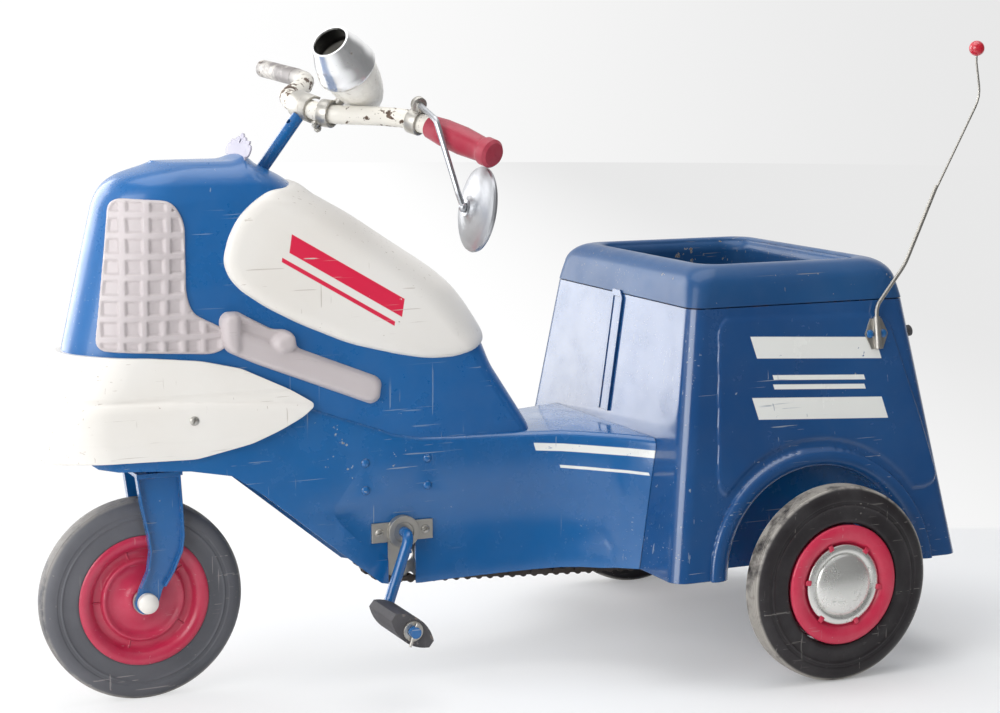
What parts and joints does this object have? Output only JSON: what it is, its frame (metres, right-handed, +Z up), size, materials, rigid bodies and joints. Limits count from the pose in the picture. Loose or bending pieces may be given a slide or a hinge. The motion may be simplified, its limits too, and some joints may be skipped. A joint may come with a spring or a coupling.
{
  "type": "child's pedal cycle with a patrol box",
  "caption": "Chain-driven child's three-wheel pedal cycle with a moulded cowl, a handlebar with lamp and mirror, and an open patrol box with an antenna.",
  "frame": {"origin": "on the ground under the middle of the bounding box", "axes": "+X to the rear, +Y to the rider's right, +Z up"},
  "size_m": [0.97, 0.5008, 0.6644],
  "materials": {
    "blue_paint": "aged gloss enamel with scratches",
    "blue_plastic": "hard moulded plastic, dulled by age",
    "white_plastic": "hard moulded plastic, dulled by age",
    "grey_plastic": "hard moulded plastic, satin",
    "white_paint": "worn gloss enamel",
    "red_paint": "aged gloss enamel",
    "red_rubber": "soft vinyl",
    "tyre_rubber": "matte solid rubber",
    "black_rubber": "matte, worn",
    "zinc": "dull zinc plate",
    "chain_steel": "oily dark steel",
    "chrome": "polished, lightly pitted",
    "mirror_glass": "silvered glass"
  },
  "bodies": {
    "frame": {"frame_shell": "blue_paint", "cross_brace": "blue_paint", "head_tube": "blue_paint", "head_bushes": "zinc", "rivets": "blue_paint", "slotted_screws": "zinc", "cowl_left": "blue_plastic", "cowl_right": "blue_plastic", "tank_left": "white_plastic", "tank_right": "white_plastic", "grille_left": "grey_plastic", "grille_right": "grey_plastic", "engine_left": "grey_plastic", "engine_right": "grey_plastic", "fairing_left": "white_plastic", "fairing_right": "white_plastic", "badge_plate": "grey_plastic", "box_shell": "blue_paint", "box_tub": "blue_paint", "front_strip": "blue_paint", "wheel_well_left": "blue_paint", "wheel_well_right": "blue_paint", "rear_button": "black_rubber", "antenna_bracket": "zinc", "antenna_mast": "zinc", "antenna_ball": "red_rubber", "crank_hanger_left": "zinc", "crank_hanger_right": "zinc", "crank_bearings": "zinc", "axle_hangers": "zinc", "drive_chain": "chain_steel"},
    "fork": {"fork": "blue_paint", "steering_post": "blue_paint", "front_axle": "zinc", "axle_caps": "white_plastic", "bar_clamp": "zinc", "clamp_bolt": "zinc", "handlebar": "white_paint", "grip_left": "red_rubber"},
    "front_wheel": {"front_tyre": "tyre_rubber", "front_disc": "red_paint", "front_bearings": "zinc"},
    "lamp": {"lamp_clamp": "zinc", "lamp_shell": "white_paint", "lamp_bezel": "chrome"},
    "mirror_arm": {"mirror_clamp": "zinc", "mirror_rod": "chrome"},
    "mirror_head": {"mirror_back": "chrome", "mirror_glass": "mirror_glass"},
    "crank": {"crank": "blue_paint", "chain_wheel": "zinc", "pedal_keepers": "zinc"},
    "pedal_left": {"pedal_left": "black_rubber"},
    "pedal_right": {"pedal_right": "black_rubber"},
    "rear_axle": {"rear_axle": "zinc", "rear_sprocket": "zinc", "rear_wheel_left": "red_paint", "rear_tyre_left": "tyre_rubber"},
    "right_wheel": {"rear_wheel_right": "red_paint", "rear_tyre_right": "tyre_rubber"}
  },
  "joints": [
    {"name": "steering", "type": "hinge", "parent": "frame", "child": "fork", "pos_m": [-0.361, 0, 0.232], "axis": [0.3741, 0, 0.9274], "range_deg": [-40, 40]},
    {"name": "front_wheel_spin", "type": "hinge", "parent": "fork", "child": "front_wheel", "pos_m": [-0.375, 0, 0.1016], "axis": [0, 1, 0], "continuous": true},
    {"name": "crank_spin", "type": "hinge", "parent": "frame", "child": "crank", "pos_m": [-0.119, 0, 0.158], "axis": [0, 1, 0], "continuous": true, "deforming": ["drive_chain"]},
    {"name": "pedal_left_spin", "type": "hinge", "parent": "crank", "child": "pedal_left", "pos_m": [-0.1457, -0.125, 0.08047], "axis": [0, 1, 0], "continuous": true},
    {"name": "pedal_right_spin", "type": "hinge", "parent": "crank", "child": "pedal_right", "pos_m": [-0.0923, 0.125, 0.23553], "axis": [0, 1, 0], "continuous": true},
    {"name": "rear_axle_spin", "type": "hinge", "parent": "frame", "child": "rear_axle", "pos_m": [0.292, 0, 0.1016], "axis": [0, 1, 0], "continuous": true},
    {"name": "right_wheel_spin", "type": "hinge", "parent": "rear_axle", "child": "right_wheel", "pos_m": [0.292, 0.228, 0.1016], "axis": [0, 1, 0], "continuous": true},
    {"name": "lamp_tilt", "type": "hinge", "parent": "fork", "child": "lamp", "pos_m": [-0.1841, -0.03246, 0.57927], "axis": [0.6161, -0.7802, -0.1079], "range_deg": [-6, 12]},
    {"name": "mirror_arm_swing", "type": "hinge", "parent": "fork", "child": "mirror_arm", "pos_m": [-0.11016, -0.08262, 0.57195], "axis": [0.5336, -0.81, -0.2433], "range_deg": [-2, 14]},
    {"name": "mirror_head_tilt", "type": "hinge", "parent": "mirror_arm", "child": "mirror_head", "pos_m": [-0.092, -0.158, 0.4925], "axis": [0, 1, 0], "range_deg": [-3, 14]}
  ],
  "couplings": [
    {"joint": "rear_axle_spin", "follows": "crank_spin", "ratio": 2.8889}
  ]
}
